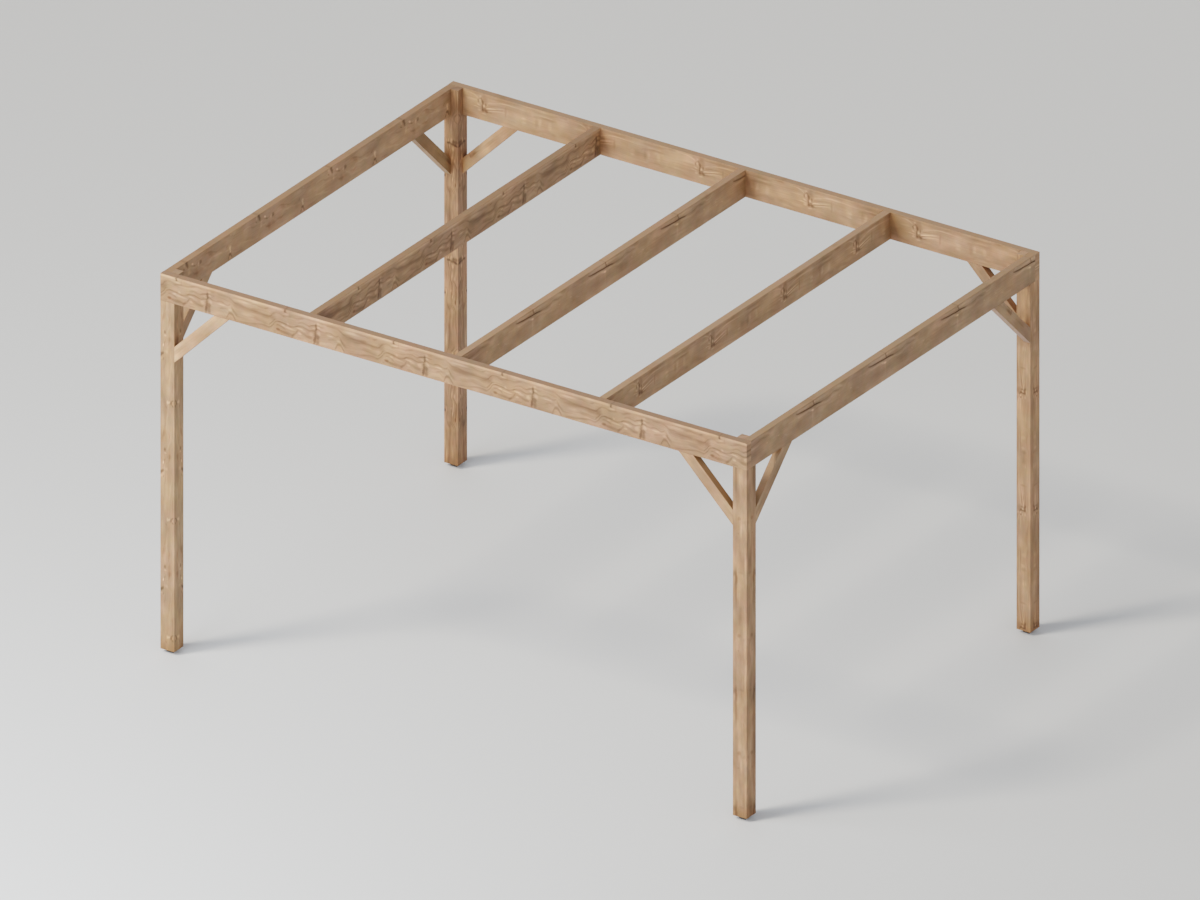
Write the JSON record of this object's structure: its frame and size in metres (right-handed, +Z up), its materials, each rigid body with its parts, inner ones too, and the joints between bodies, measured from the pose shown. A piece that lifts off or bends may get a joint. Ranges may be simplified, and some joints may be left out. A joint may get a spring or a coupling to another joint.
{
  "type": "timber pergola frame",
  "caption": "Free-standing flat timber pergola frame: notched square posts on pads, a ring of beams, rafters between them and knee braces at the posts.",
  "frame": {"origin": "on the ground, at the centre of the frame's plan", "axes": "+X along the front beam towards the right, +Y from the front to the back, +Z up"},
  "size_m": [4, 3, 2.39],
  "materials": {
    "post_timber": "planed softwood, oiled",
    "beam_timber": "planed softwood, oiled",
    "rafter_timber": "planed softwood, oiled",
    "brace_timber": "planed softwood, oiled",
    "pad_rubber": "matt moulded rubber"
  },
  "bodies": {
    "root": {"post_front_left": "post_timber", "post_front_right": "post_timber", "post_back_left": "post_timber", "post_back_right": "post_timber", "pad_front_left": "pad_rubber", "pad_front_right": "pad_rubber", "pad_back_left": "pad_rubber", "pad_back_right": "pad_rubber", "front_beam": "beam_timber", "back_beam": "beam_timber", "left_beam": "beam_timber", "right_beam": "beam_timber", "rafter_left": "rafter_timber", "rafter_middle": "rafter_timber", "rafter_right": "rafter_timber", "front_brace_left": "brace_timber", "front_brace_right": "brace_timber", "back_brace_left": "brace_timber", "back_brace_right": "brace_timber", "left_brace_front": "brace_timber", "left_brace_back": "brace_timber", "right_brace_front": "brace_timber", "right_brace_back": "brace_timber"}
  },
  "joints": []
}
